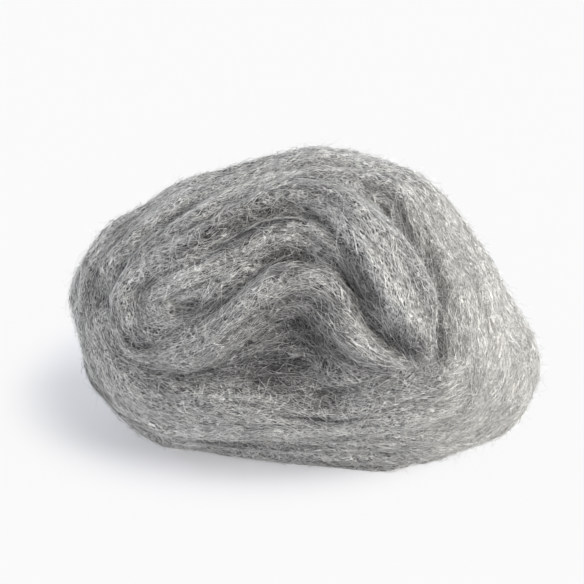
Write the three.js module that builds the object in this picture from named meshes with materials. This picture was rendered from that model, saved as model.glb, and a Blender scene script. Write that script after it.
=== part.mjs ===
// Aluminium wool ball, in millimetres, with +Z up.
// One long sliver of fine aluminium wool is folded on itself in bands and bunched into a loose ball.
// The bands run into each other and are pinched in along creases, so the ball is one closed solid
// with its folds and hollows in its surface.
// The ball lies on its pressed-flat underside. The origin is on that flat, under the middle of the ball.

import * as THREE from "three";
import { mergeVertices } from "three/addons/utils/BufferGeometryUtils.js";

// Driving dimensions
const BALL_LENGTH = 150; // end to end, along X
const BALL_DEPTH = 100; // front to back, along Y
const BALL_HEIGHT = 100; // along Z, before the ball settles
const SETTLE = 5; // how much of the soft underside is pressed flat where the ball rests
const CORE_SINK_ENDS = 13; // how far the packed middle lies under the outside, at the two ends
const CORE_SINK_DEPTH = 14; // the same, at the front and the back
const CORE_SINK_TOP = 10; // the same, above and below
const FOLD_BLEND = 5; // how softly two neighbouring bands run together
const STRAND_PITCH = 12; // across a band, from one gathered strand of wool to the next
const STRAND_RISE = 1; // how far a strand stands out, and the gap beside it lies in

// Facets, and the tracing of a ray onto the surface
const FACETS_PER_EDGE = 23; // along each edge of the icosahedron that the ball is traced from
const FRONT_SHARE = 0.3; // how far the facets crowd to the front, where the folds are, from 0 to 1
const STATIONS_PER_LINE = 60; // places along a band or a crease where its section is set out
const STRAND_DRIFT = 2; // pitches that the strands pass sideways from one end of a band to the other
const CREASE_STEEP = 4; // how many times further a crease draws the wool in and out than aside
const SOFTEN_ROUNDS = 2; // how often the facets are evened out with their neighbours
const TRACE_STEPS = 200;
const TRACE_CLOSE = 0.005;

// The bands of the sliver, each with its half thickness, the line that its crest follows, and its half
// width at each point of that line. A point is in per cent of the ball's half length, half depth and
// height, from the origin: -X is the left end, -Y the front, and Z goes up from the rest.
const BANDS = {
  // Over the top from the left end, and down the right of the front
  outerArch: {
    thick: 8,
    crestPercent: [
      [-93, -27, 55], [-89, -15, 70], [-73, -10, 80], [-52, -4, 90], [-33, -6, 93], [-19, 0, 96],
      [2, 3, 100], [27, 2, 98], [47, -8, 93], [61, -33, 76], [69, -58, 63], [72, -72, 48],
      [69, -73, 31], [54, -70, 21],
    ],
    halfWidths: [9, 10, 11, 12, 12, 13, 13, 13, 14, 15, 15, 15, 13, 11],
  },
  // Under the outer arch, and down the front as a long ridge
  lowerArch: {
    thick: 8,
    crestPercent: [
      [-75, -51, 62], [-65, -47, 74], [-46, -50, 85], [-27, -41, 92], [-7, -38, 96], [11, -45, 95],
      [25, -67, 88], [37, -84, 75], [45, -92, 62], [49, -89, 51], [49, -77, 44],
    ],
    halfWidths: [8, 9, 9, 9, 9, 10, 10, 10, 9, 7, 5],
  },
  // Turns back at the left end, and dives behind the ridge
  innerArch: {
    thick: 6,
    crestPercent: [
      [-47, -80, 56], [-59, -75, 55], [-68, -65, 58], [-70, -59, 63], [-61, -61, 70], [-45, -67, 76],
      [-27, -65, 81], [-12, -61, 85], [-1, -60, 84], [9, -66, 79], [16, -70, 69], [25, -69, 60],
      [35, -67, 53],
    ],
    halfWidths: [9, 11, 12, 12, 11.5, 11, 10, 8.5, 8, 7, 6, 5.5, 5],
  },
  // The bright fold across the middle of the front
  chevron: {
    thick: 8,
    crestPercent: [
      [-78, -51, 53], [-71, -64, 46], [-58, -78, 49], [-45, -89, 55], [-31, -93, 64], [-17, -91, 71],
      [-4, -88, 73], [6, -89, 71], [15, -94, 65], [26, -97, 57], [38, -91, 51], [49, -77, 47],
    ],
    halfWidths: [6, 6, 7, 8, 9, 9, 8, 8, 8, 8, 7, 5],
  },
  // The shaded fold under it
  innerChevron: {
    thick: 6,
    crestPercent: [
      [-80, -49, 43], [-68, -59, 38], [-50, -68, 42], [-34, -77, 48], [-21, -79, 53], [-7, -76, 56],
      [3, -75, 55], [12, -82, 49], [26, -86, 43], [43, -85, 42], [57, -74, 44],
    ],
    halfWidths: [6, 6, 7, 9, 9, 9, 8, 8, 7, 6, 5],
  },
  // From the left end along the foot of the front
  upperWrap: {
    thick: 8,
    crestPercent: [
      [-89, -40, 47], [-81, -51, 34], [-65, -61, 26], [-45, -75, 26], [-25, -84, 28], [-5, -83, 27],
      [16, -85, 26], [37, -89, 31], [57, -84, 34], [74, -69, 38],
    ],
    halfWidths: [8, 8, 9, 9, 10, 10, 11, 11, 10, 10],
  },
  // Under the upper wrap, down to the rest
  lowerWrap: {
    thick: 11,
    crestPercent: [
      [-87, -34, 28], [-69, -50, 20], [-44, -56, 15], [-15, -62, 14], [18, -66, 14], [47, -64, 14],
      [71, -56, 16], [84, -52, 26],
    ],
    halfWidths: [12, 15, 20, 21, 20, 19, 16, 12],
  },
  // Round the right end
  rightToe: {
    thick: 8,
    crestPercent: [
      [59, 9, 71], [75, -8, 53], [89, -20, 45], [97, -22, 33], [94, -22, 20], [83, -28, 11],
      [64, -32, 7],
    ],
    halfWidths: [10, 12, 14, 15, 14, 13, 14],
  },
  // Round the left end
  leftEnd: {
    thick: 8,
    crestPercent: [
      [-84, -8, 75], [-96, -12, 63], [-96, -22, 53], [-91, -36, 40], [-83, -39, 25], [-67, -42, 14],
    ],
    halfWidths: [10, 10, 10, 10, 11, 12],
  },
  // Along the top, behind the outer arch
  crown: {
    thick: 9,
    crestPercent: [[-92, 10, 62], [-66, 26, 78], [-24, 38, 90], [18, 38, 94], [52, 28, 77], [83, 10, 51]],
    halfWidths: [14, 17, 19, 19, 18, 14],
  },
  // Along the upper half of the back
  backArch: {
    thick: 9,
    crestPercent: [[-87, 30, 50], [-58, 74, 66], [-10, 91, 70], [38, 84, 68], [72, 54, 52], [87, 12, 38]],
    halfWidths: [13, 19, 21, 20, 17, 13],
  },
  // Along the lower half of the back
  backWrap: {
    thick: 9,
    crestPercent: [[-85, 30, 36], [-54, 76, 35], [-5, 94, 36], [42, 86, 34], [77, 48, 27], [89, -4, 28]],
    halfWidths: [13, 19, 21, 20, 17, 13],
  },
  // Under the back wrap, down to the rest
  backFoot: {
    thick: 9,
    crestPercent: [[-80, 40, 24], [-45, 64, 16], [0, 74, 14], [42, 68, 13], [78, 36, 15]],
    halfWidths: [14, 18, 20, 19, 15],
  },
  // The broad band that the ball lies on
  underside: {
    thick: 9,
    crestPercent: [[-84, 16, 22], [-48, 20, 2], [0, 12, 0], [48, 2, 0], [84, -4, 14]],
    halfWidths: [16, 22, 26, 27, 18],
  },
};

// The creases where the wool is pinched in, each with its half width, its line on the ball in per cent
// like the bands, and its depth at each point of that line.
const CREASES = {
  // Between the lower arch and the inner arch
  archBorder: {
    halfWidth: 4.2,
    linePercent: [
      [-47, -65, 76], [-41, -62, 80], [-34, -58, 84], [-24, -51, 88], [-11, -48, 90], [0, -50, 90],
      [9, -60, 88], [15, -72, 84], [19, -78, 79], [23, -82, 73], [28, -87, 66],
    ],
    depths: [0, 1.8, 2.8, 3.8, 4.8, 4.8, 4.4, 3.6, 3, 2, 0],
  },
  // Deep beside the ridge, where the chevron dives under it
  ridgeFlank: {
    halfWidth: 6.5,
    linePercent: [
      [13, -70, 77], [19, -78, 71], [24, -90, 66], [30, -93, 60], [37, -91, 55], [43, -92, 52],
      [49, -90, 49],
    ],
    depths: [0, 3.5, 6, 7, 6.5, 4, 0],
  },
  // Between the inner arch and the chevron
  archEdge: {
    halfWidth: 4.8,
    linePercent: [
      [-54, -77, 58], [-47, -81, 62], [-38, -85, 66], [-30, -84, 70], [-23, -80, 74], [-17, -73, 78],
      [-10, -69, 79], [-2, -68, 79], [4, -72, 77], [9, -80, 75],
    ],
    depths: [0, 3, 4.4, 4.4, 4.2, 4.6, 5, 4.6, 2.4, 0],
  },
  // The broad hollow under the chevron's peak
  underChevron: {
    halfWidth: 11,
    linePercent: [
      [-28, -84, 52], [-18, -86, 56], [-10, -84, 59], [-1, -80, 60], [5, -80, 54], [7, -82, 47],
      [10, -86, 39],
    ],
    depths: [0, 2.4, 4.4, 5, 4.4, 2.6, 0],
  },
  // Between the shaded fold and the wraps along the foot
  overWrap: {
    halfWidth: 5.5,
    linePercent: [
      [-67, -66, 42], [-58, -71, 41], [-48, -72, 40], [-37, -75, 42], [-26, -78, 43], [-15, -79, 43],
      [-6, -80, 42], [1, -83, 40], [8, -87, 37], [17, -88, 37], [27, -90, 40], [39, -91, 42],
    ],
    depths: [0, 2.4, 2.4, 2, 2, 2.4, 2.8, 2.8, 2.8, 2, 1, 0],
  },
  // Between the ridge and the outer arch, down the right of the front
  rightSeam: {
    halfWidth: 4,
    linePercent: [
      [50, -42, 79], [51, -53, 73], [52, -65, 67], [54, -77, 62], [55, -80, 55], [56, -83, 48],
      [57, -86, 43],
    ],
    depths: [0, 1.4, 2.2, 3.2, 3.6, 3, 0],
  },
};

const HALF_LENGTH = BALL_LENGTH / 2;
const HALF_DEPTH = BALL_DEPTH / 2;
const HALF_HEIGHT = BALL_HEIGHT / 2;
const MIDDLE = new THREE.Vector3(0, 0, HALF_HEIGHT);
const OUTSIDE = Math.hypot(BALL_LENGTH, BALL_DEPTH, BALL_HEIGHT); // a radius clear of the whole ball

// A line's point, from per cent to millimetres.
function placeInBall([across, away, up]) {
  return new THREE.Vector3(across * HALF_LENGTH, away * HALF_DEPTH, up * BALL_HEIGHT).divideScalar(100);
}

// The way out of the ball at a point, as if the ball were an ellipsoid, and square to the line's run.
function wayOut(point, along) {
  const out = point.clone().sub(MIDDLE);
  out.set(out.x / HALF_LENGTH ** 2, out.y / HALF_DEPTH ** 2, out.z / HALF_HEIGHT ** 2);
  return out.addScaledVector(along, -out.dot(along)).normalize();
}

// A line over the ball: stations at even distances, each with its centre, its way out and its size.
class Line {
  constructor(linePercent, sizes, sink) {
    const curve = new THREE.CatmullRomCurve3(linePercent.map(placeInBall), false, "centripetal");
    this.stations = [];
    for (let i = 0; i <= STATIONS_PER_LINE; i++) {
      const t = curve.getUtoTmapping(i / STATIONS_PER_LINE);
      const out = wayOut(curve.getPoint(t), curve.getTangent(t));
      const place = t * (sizes.length - 1);
      const before = Math.min(Math.floor(place), sizes.length - 2);
      const size = THREE.MathUtils.lerp(sizes[before], sizes[before + 1], place - before);
      this.stations.push({ centre: curve.getPoint(t).addScaledVector(out, -sink), out, size });
    }
  }

  // How a point lies beside the leg from station i to the next: its rise along the way out, how far
  // aside it is and on which side, the share of the line that is passed, and the line's size there.
  besideLeg(i, point) {
    const from = this.stations[i];
    const to = this.stations[i + 1];
    const leg = to.centre.clone().sub(from.centre);
    const offset = point.clone().sub(from.centre);
    const share = THREE.MathUtils.clamp(offset.dot(leg) / leg.lengthSq(), 0, 1);
    offset.addScaledVector(leg, -share);
    const out = from.out.clone().lerp(to.out, share).normalize();
    const rise = offset.dot(out);
    const aside = Math.sqrt(Math.max(0, offset.lengthSq() - rise * rise));
    const across = offset.dot(leg.cross(out).normalize());
    const passed = (i + share) / STATIONS_PER_LINE;
    return { rise, aside, across, passed, size: THREE.MathUtils.lerp(from.size, to.size, share) };
  }

  // How a point lies beside the two legs that meet at the nearest station.
  beside(point) {
    let nearest = 0;
    let least = Infinity;
    this.stations.forEach(({ centre }, i) => {
      const gap = centre.distanceToSquared(point);
      if (gap < least) {
        least = gap;
        nearest = i;
      }
    });
    const legs = [Math.max(nearest - 1, 0), Math.min(nearest, STATIONS_PER_LINE - 1)];
    return legs.map((i) => this.besideLeg(i, point));
  }
}

// A band of wool with an oval section, whose thin side faces out of the ball, gathered in strands.
class Band extends Line {
  constructor({ thick, crestPercent, halfWidths }) {
    super(crestPercent, halfWidths, thick);
    this.thick = thick;
  }

  // How far a point lies outside the band, in millimetres, and negative inside it.
  distance(point) {
    const distances = this.beside(point).map(({ rise, aside, across, passed, size }) => {
      const oval = Math.hypot(rise / this.thick, aside / size);
      const strand = Math.cos(2 * Math.PI * (across / STRAND_PITCH + passed * STRAND_DRIFT));
      return (oval - 1) * Math.min(this.thick, size) - strand * STRAND_RISE;
    });
    return Math.min(...distances);
  }
}

// A crease with rounded lips.
class Crease extends Line {
  constructor({ halfWidth, linePercent, depths }) {
    super(linePercent, depths, 0);
    this.halfWidth = halfWidth;
  }

  // How deep the crease is at a point, and 0 beside it.
  depth(point) {
    const depths = this.beside(point).map(({ rise, aside, size }) => {
      const away = Math.hypot(aside, rise / CREASE_STEEP) / this.halfWidth;
      return size * Math.max(0, 1 - away ** 2) ** 2;
    });
    return Math.max(...depths);
  }
}

// How far a point lies outside the packed middle, an ellipsoid.
const CORE = new THREE.Vector3(
  HALF_LENGTH - CORE_SINK_ENDS,
  HALF_DEPTH - CORE_SINK_DEPTH,
  HALF_HEIGHT - CORE_SINK_TOP,
);
function coreDistance(point) {
  const scaled = point.clone().sub(MIDDLE).divide(CORE);
  return (scaled.length() - 1) * Math.min(CORE.x, CORE.y, CORE.z);
}

// The lesser of two distances, rounded over where they are within FOLD_BLEND of each other.
function softMin(a, b) {
  const near = Math.max(0, FOLD_BLEND - Math.abs(a - b));
  return Math.min(a, b) - (near * near) / (4 * FOLD_BLEND);
}

const bands = Object.values(BANDS).map((band) => new Band(band));
function woolDistance(point) {
  return bands.reduce((distance, band) => softMin(distance, band.distance(point)), coreDistance(point));
}

// The outermost point of the wool on the ray from the ball's middle along a direction.
function traceToWool(direction) {
  const point = new THREE.Vector3();
  let radius = OUTSIDE;
  for (let step = 0; step < TRACE_STEPS; step++) {
    point.copy(MIDDLE).addScaledVector(direction, radius);
    const distance = woolDistance(point);
    if (distance < TRACE_CLOSE) break;
    radius -= distance;
  }
  return point;
}

// How far the creases sink the wool at a point, towards the ball's middle.
const creases = Object.values(CREASES).map((crease) => new Crease(crease));
function creaseDepth(point) {
  return creases.reduce((depth, crease) => depth + crease.depth(point), 0);
}

// Evens out each corner's radius with those of the facets that it belongs to.
function soften(radii, facets) {
  const sums = radii.map(() => 0);
  const counts = radii.map(() => 0);
  for (let i = 0; i < facets.count; i += 3) {
    const corners = [facets.getX(i), facets.getX(i + 1), facets.getX(i + 2)];
    const mean = (radii[corners[0]] + radii[corners[1]] + radii[corners[2]]) / 3;
    for (const corner of corners) {
      sums[corner] += mean;
      counts[corner] += 1;
    }
  }
  return sums.map((sum, corner) => sum / counts[corner]);
}

// The ball's skin: an icosahedron's fine facets, each corner carried out to the wool, and pressed flat
// underneath.
function ballGeometry() {
  const round = new THREE.IcosahedronGeometry(1, FACETS_PER_EDGE - 1);
  round.deleteAttribute("normal");
  round.deleteAttribute("uv");
  const geometry = mergeVertices(round);
  const corners = geometry.getAttribute("position");
  const directions = [];
  for (let i = 0; i < corners.count; i++) {
    const direction = new THREE.Vector3().fromBufferAttribute(corners, i);
    direction.y -= FRONT_SHARE;
    directions.push(direction.normalize());
  }

  let radii = directions.map((direction) => {
    const traced = traceToWool(direction);
    return traced.distanceTo(MIDDLE) - creaseDepth(traced);
  });
  for (let i = 0; i < SOFTEN_ROUNDS; i++) {
    radii = soften(radii, geometry.index);
  }
  directions.forEach((direction, i) => {
    const corner = MIDDLE.clone().addScaledVector(direction, radii[i]);
    corners.setXYZ(i, corner.x, corner.y, corner.z);
  });

  geometry.computeBoundingBox();
  const rest = geometry.boundingBox.min.z + SETTLE;
  for (let i = 0; i < corners.count; i++) {
    corners.setZ(i, Math.max(corners.getZ(i), rest));
  }

  geometry.computeBoundingBox();
  const { min, max } = geometry.boundingBox;
  geometry.translate(-(min.x + max.x) / 2, -(min.y + max.y) / 2, -min.z);
  geometry.computeVertexNormals();
  return geometry;
}

const aluminiumWool = new THREE.MeshStandardMaterial({ color: 0x949491, roughness: 0.5, metalness: 0.8 });

const ball = new THREE.Mesh(ballGeometry(), aluminiumWool);
ball.name = "wool_ball";

const woolBall = new THREE.Group();
woolBall.add(ball);

export default woolBall;
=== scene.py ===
"""The looks of the aluminium wool ball: its folded body, the coat of crimped fibres on it, and the studio."""

import logging
import math
from collections.abc import Iterator
from dataclasses import dataclass, field
from enum import Enum, IntEnum
from typing import ClassVar

import bmesh
import bpy
import numpy as np
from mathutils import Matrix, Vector


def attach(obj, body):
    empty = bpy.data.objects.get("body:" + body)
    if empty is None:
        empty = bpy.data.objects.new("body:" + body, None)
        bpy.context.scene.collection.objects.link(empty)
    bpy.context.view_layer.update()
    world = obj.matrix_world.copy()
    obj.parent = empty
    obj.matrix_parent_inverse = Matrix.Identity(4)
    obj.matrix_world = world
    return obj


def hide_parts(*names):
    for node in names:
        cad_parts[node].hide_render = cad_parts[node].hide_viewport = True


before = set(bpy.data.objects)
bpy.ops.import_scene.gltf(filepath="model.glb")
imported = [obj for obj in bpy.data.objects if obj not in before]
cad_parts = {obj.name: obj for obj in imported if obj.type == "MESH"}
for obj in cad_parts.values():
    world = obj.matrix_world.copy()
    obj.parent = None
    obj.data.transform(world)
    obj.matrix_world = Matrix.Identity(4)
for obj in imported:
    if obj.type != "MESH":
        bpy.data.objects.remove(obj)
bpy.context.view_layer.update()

log = logging.getLogger("wool_ball")

MM = 0.001
SQUARE_CM_PER_SQUARE_METRE = 1e4
TINY = 1e-6
NOISE_MIDDLE = 0.5
NODE = "wool_ball"
RIDES_ON = "root"

FLOW = "flow"
TONE = "tone"
# The stored shade is painted shade, from 0 to 1: how much the colours are darkened in folds, strand gaps and
# spots, and less where a spot paints light.
PAINTED_SHADE = "shade"
STRAND_MAP = "strand_map"

# A place's 100 per cent spans this many of the ball's half sizes: the height is counted from the ground.
HALVES_SPANNED = np.array((1.0, 1.0, 2.0))

Colour = tuple[float, float, float]
Socket = bpy.types.NodeSocket


def in_millimetres(per_cent: np.ndarray, half_sizes: np.ndarray) -> np.ndarray:
    """Turns places in per cent of the half length, half depth and height into millimetres."""
    return per_cent / 100.0 * (half_sizes * HALVES_SPANNED)


def middle_of(half_sizes: np.ndarray) -> np.ndarray:
    """Gives the middle of a ball with those half sizes, that stands on the ground."""
    return np.array((0.0, 0.0, half_sizes[2]))


def opaque(colour: Colour) -> tuple[float, float, float, float]:
    """Gives a colour with full cover."""
    return (*colour, 1.0)


def add_piece(name: str, data: bpy.types.ID) -> bpy.types.Object:
    """Adds an object to the scene, at the origin.

    Args:
        name: its name.
        data: its mesh, lamp or lens.

    Returns:
        The object.
    """
    made = bpy.data.objects.new(name, data)
    bpy.context.scene.collection.objects.link(made)
    return made


@dataclass(frozen=True)
class Band:
    """A band of the folded sliver, as the part's source lays it out.

    Each crest point is in per cent of the ball's half length, half depth and height, with the band's half
    width there in millimetres. The band's half thickness is in millimetres too.
    """

    name: str
    thick: float
    crest: tuple[tuple[float, float, float, float], ...]


BANDS = (
    Band("outer_arch", 8, (
        (-93, -27, 55, 9), (-89, -15, 70, 10), (-73, -10, 80, 11), (-52, -4, 90, 12), (-33, -6, 93, 12),
        (-19, 0, 96, 13), (2, 3, 100, 13), (27, 2, 98, 13), (47, -8, 93, 14), (61, -33, 76, 15),
        (69, -58, 63, 15), (72, -72, 48, 15), (69, -73, 31, 13), (54, -70, 21, 11),
    )),
    Band("lower_arch", 8, (
        (-75, -51, 62, 8), (-65, -47, 74, 9), (-46, -50, 85, 9), (-27, -41, 92, 9), (-7, -38, 96, 9),
        (11, -45, 95, 10), (25, -67, 88, 10), (37, -84, 75, 10), (45, -92, 62, 9), (49, -89, 51, 7),
        (49, -77, 44, 5),
    )),
    Band("inner_arch", 6, (
        (-47, -80, 56, 9), (-59, -75, 55, 11), (-68, -65, 58, 12), (-70, -59, 63, 12),
        (-61, -61, 70, 11.5), (-45, -67, 76, 11), (-27, -65, 81, 10), (-12, -61, 85, 8.5),
        (-1, -60, 84, 8), (9, -66, 79, 7), (16, -70, 69, 6), (25, -69, 60, 5.5), (35, -67, 53, 5),
    )),
    Band("chevron", 8, (
        (-78, -51, 53, 6), (-71, -64, 46, 6), (-58, -78, 49, 7), (-45, -89, 55, 8), (-31, -93, 64, 9),
        (-17, -91, 71, 9), (-4, -88, 73, 8), (6, -89, 71, 8), (15, -94, 65, 8), (26, -97, 57, 8),
        (38, -91, 51, 7), (49, -77, 47, 5),
    )),
    Band("inner_chevron", 6, (
        (-80, -49, 43, 6), (-68, -59, 38, 6), (-50, -68, 42, 7), (-34, -77, 48, 9), (-21, -79, 53, 9),
        (-7, -76, 56, 9), (3, -75, 55, 8), (12, -82, 49, 8), (26, -86, 43, 7), (43, -85, 42, 6),
        (57, -74, 44, 5),
    )),
    Band("upper_wrap", 8, (
        (-89, -40, 47, 8), (-81, -51, 34, 8), (-65, -61, 26, 9), (-45, -75, 26, 9), (-25, -84, 28, 10),
        (-5, -83, 27, 10), (16, -85, 26, 11), (37, -89, 31, 11), (57, -84, 34, 10), (74, -69, 38, 10),
    )),
    Band("lower_wrap", 11, (
        (-87, -34, 28, 12), (-69, -50, 20, 15), (-44, -56, 15, 20), (-15, -62, 14, 21), (18, -66, 14, 20),
        (47, -64, 14, 19), (71, -56, 16, 16), (84, -52, 26, 12),
    )),
    Band("right_toe", 8, (
        (59, 9, 71, 10), (75, -8, 53, 12), (89, -20, 45, 14), (97, -22, 33, 15), (94, -22, 20, 14),
        (83, -28, 11, 13), (64, -32, 7, 14),
    )),
    Band("left_end", 8, (
        (-84, -8, 75, 10), (-96, -12, 63, 10), (-96, -22, 53, 10), (-91, -36, 40, 10), (-83, -39, 25, 11),
        (-67, -42, 14, 12),
    )),
    Band("crown", 9, (
        (-92, 10, 62, 14), (-66, 26, 78, 17), (-24, 38, 90, 19), (18, 38, 94, 19), (52, 28, 77, 18),
        (83, 10, 51, 14),
    )),
    Band("back_arch", 9, (
        (-87, 30, 50, 13), (-58, 74, 66, 19), (-10, 91, 70, 21), (38, 84, 68, 20), (72, 54, 52, 17),
        (87, 12, 38, 13),
    )),
    Band("back_wrap", 9, (
        (-85, 30, 36, 13), (-54, 76, 35, 19), (-5, 94, 36, 21), (42, 86, 34, 20), (77, 48, 27, 17),
        (89, -4, 28, 13),
    )),
    Band("back_foot", 9, (
        (-80, 40, 24, 14), (-45, 64, 16, 18), (0, 74, 14, 20), (42, 68, 13, 19), (78, 36, 15, 15),
    )),
    Band("underside", 9, (
        (-84, 16, 22, 16), (-48, 20, 2, 22), (0, 12, 0, 26), (48, 2, 0, 27), (84, -4, 14, 18),
    )),
)


@dataclass(frozen=True)
class Crease:
    """A line where the wool is pinched in between two bands.

    Each point is in per cent of the ball's half length, half depth and height, with the crease's depth there
    in millimetres. Its half width is in millimetres too.
    """

    name: str
    half_width: float
    line: tuple[tuple[float, float, float, float], ...]


CREASES = (
    Crease("arch_border", 4.2, (
        (-47, -65, 76, 0), (-41, -62, 80, 1.8), (-34, -58, 84, 2.8), (-24, -51, 88, 3.8),
        (-11, -48, 90, 4.8), (0, -50, 90, 4.8), (9, -60, 88, 4.4), (15, -72, 84, 3.6), (19, -78, 79, 3),
        (23, -82, 73, 2), (28, -87, 66, 0),
    )),
    Crease("ridge_flank", 6.5, (
        (13, -70, 77, 0), (19, -78, 71, 3.5), (24, -90, 66, 6), (30, -93, 60, 7), (37, -91, 55, 6.5),
        (43, -92, 52, 4), (49, -90, 49, 0),
    )),
    Crease("arch_edge", 4.8, (
        (-54, -77, 58, 0), (-47, -81, 62, 3), (-38, -85, 66, 4.4), (-30, -84, 70, 4.4), (-23, -80, 74, 4.2),
        (-17, -73, 78, 4.6), (-10, -69, 79, 5), (-2, -68, 79, 4.6), (4, -72, 77, 2.4), (9, -80, 75, 0),
    )),
    Crease("under_chevron", 11.0, (
        (-28, -84, 52, 0), (-18, -86, 56, 2.4), (-10, -84, 59, 4.4), (-1, -80, 60, 5), (5, -80, 54, 4.4),
        (7, -82, 47, 2.6), (10, -86, 39, 0),
    )),
    Crease("over_wrap", 5.5, (
        (-67, -66, 42, 0), (-58, -71, 41, 2.4), (-48, -72, 40, 2.4), (-37, -75, 42, 2), (-26, -78, 43, 2),
        (-15, -79, 43, 2.4), (-6, -80, 42, 2.8), (1, -83, 40, 2.8), (8, -87, 37, 2.8), (17, -88, 37, 2),
        (27, -90, 40, 1), (39, -91, 42, 0),
    )),
    Crease("right_seam", 4.0, (
        (50, -42, 79, 0), (51, -53, 73, 1.4), (52, -65, 67, 2.2), (54, -77, 62, 3.2), (55, -80, 55, 3.6),
        (56, -83, 48, 3), (57, -86, 43, 0),
    )),
    Crease("wrap_line", 2.6, (
        (-76, -60, 32, 0), (-63, -71, 32, 1), (-48, -78, 35, 0.7), (-32, -83, 39, 0.8), (-22, -86, 39, 1.2),
        (-13, -87, 38, 1.5), (-2, -88, 35, 1.5), (9, -88, 34, 1.2), (20, -91, 36, 0),
    )),
    Crease("shoulder_line", 2.4, (
        (-77, -32, 73, 0), (-69, -30, 77, 1.2), (-61, -28, 81, 1.5), (-53, -27, 83, 1.2), (-43, -41, 89, 0),
    )),
    Crease("left_seam", 2.4, (
        (-78, -31, 73, 0), (-82, -34, 68, 1.2), (-84, -35, 62, 1.5), (-82, -48, 56, 1.2), (-79, -54, 48, 0),
    )),
    Crease("turn_line", 2.4, (
        (-69, -54, 69, 0), (-72, -57, 62, 1.2), (-70, -63, 56, 1.5), (-65, -74, 51, 1.2), (-59, -75, 46, 0),
    )),
    Crease("ridge_line", 2.6, (
        (24, -62, 90, 0), (33, -73, 84, 0.8), (40, -80, 77, 1), (45, -86, 68, 0.8), (49, -87, 60, 0),
    )),
)


@dataclass(frozen=True)
class PaintedShadeSpot:
    """A spot of painted shade on the wool, where its colours are darkened.

    Its middle is in per cent of the ball's half length, half depth and height. Its half width and half height
    are in millimetres, and so is the half depth that all spots share. The share of the colour that it darkens
    is from 0 to 1, and below 0 it lightens the colour instead, as painted light.
    """

    HALF_DEPTH: ClassVar[float] = 30.0

    name: str
    middle: tuple[float, float, float]
    half_width: float
    half_height: float
    loss: float

    def painted_shade_at(self, points: np.ndarray, half_sizes: np.ndarray) -> np.ndarray:
        """Works out the painted shade of the spot at points, below 0 where it paints light.

        Args:
            points: places in millimetres.
            half_sizes: the ball's half length, half depth and half height.

        Returns:
            A share of the colour darkened for each.
        """
        sizes = np.array((self.half_width, self.HALF_DEPTH, self.half_height))
        away = (points - in_millimetres(np.array(self.middle), half_sizes)) / sizes
        return self.loss * np.exp(-(away**2).sum(1))


# Spots of painted shade over the front; left_edge and arch_end, with shares below 0, are painted light.
PAINTED_SHADE_SPOTS = (
    PaintedShadeSpot("under_peak", (-5, -79, 59), 13.0, 9.0, 0.7),
    PaintedShadeSpot("middle", (-6, -82, 54), 30.0, 22.0, 0.4),
    PaintedShadeSpot("seam", (54, -82, 56), 2.0, 11.0, 0.75),
    PaintedShadeSpot("ridge_side", (49, -78, 70), 7.0, 20.0, 0.42),
    PaintedShadeSpot("crown", (8, -40, 95), 14.0, 7.0, 0.35),
    PaintedShadeSpot("seam_end", (52, -86, 45), 4.0, 6.0, 0.5),
    PaintedShadeSpot("crevice_high", (23, -72, 66), 3.0, 3.0, 0.3),
    PaintedShadeSpot("crevice_low", (36, -86, 55), 4.5, 3.5, 0.65),
    PaintedShadeSpot("crevice_end", (42, -91, 52), 5.5, 3.5, 0.8),
    PaintedShadeSpot("peak", (-5, -80, 70), 7.0, 4.0, 0.2),
    PaintedShadeSpot("arch_shoulder", (-29, -75, 78), 6.0, 4.0, 0.3),
    PaintedShadeSpot("outer_shoulder", (-30, -45, 91), 7.0, 5.0, 0.3),
    PaintedShadeSpot("wrap_crest_left", (-54, -80, 36), 10.0, 6.0, 0.25),
    PaintedShadeSpot("wrap_crest_right", (35, -88, 36), 12.0, 6.0, 0.2),
    PaintedShadeSpot("turn_crest", (-74, -62, 60), 6.0, 8.0, 0.2),
    PaintedShadeSpot("left_edge", (-91, -25, 70), 8.0, 16.0, -1.0),
    PaintedShadeSpot("arch_end", (6, -55, 88), 9.0, 5.0, -0.8),
    PaintedShadeSpot("arch_crest", (-14, -70, 81), 12.0, 4.5, 0.35),
    PaintedShadeSpot("peak_shoulder", (13, -78, 69), 5.0, 5.0, 0.4),
    PaintedShadeSpot("leg_foot", (-22, -84, 53), 8.0, 8.0, 0.35),
    PaintedShadeSpot("ridge_top", (34, -74, 82), 12.0, 11.0, 0.25),
    PaintedShadeSpot("peak_side", (13, -85, 43), 10.0, 8.0, 0.25),
    PaintedShadeSpot("inner_left", (-21, -84, 47), 10.0, 5.0, 0.5),
    PaintedShadeSpot("patch_high", (-10, -80, 44), 7.0, 3.6, 0.85),
    PaintedShadeSpot("patch_low", (-16, -86, 40), 11.0, 3.6, 0.8),
    PaintedShadeSpot("patch_right", (3, -87, 35), 9.0, 4.5, 0.6),
    PaintedShadeSpot("wrap_right", (36, -91, 41), 12.0, 4.0, 0.4),
    PaintedShadeSpot("arch_pocket", (-7, -71, 78), 8.0, 4.0, 0.6),
    PaintedShadeSpot("wrap_pocket", (-57, -73, 41), 9.0, 3.4, 0.4),
    PaintedShadeSpot("turn_low", (-64, -76, 52), 5.0, 6.0, 0.35),
    PaintedShadeSpot("turn_eye", (-65, -60, 66), 5.0, 4.0, 0.35),
)


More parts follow.
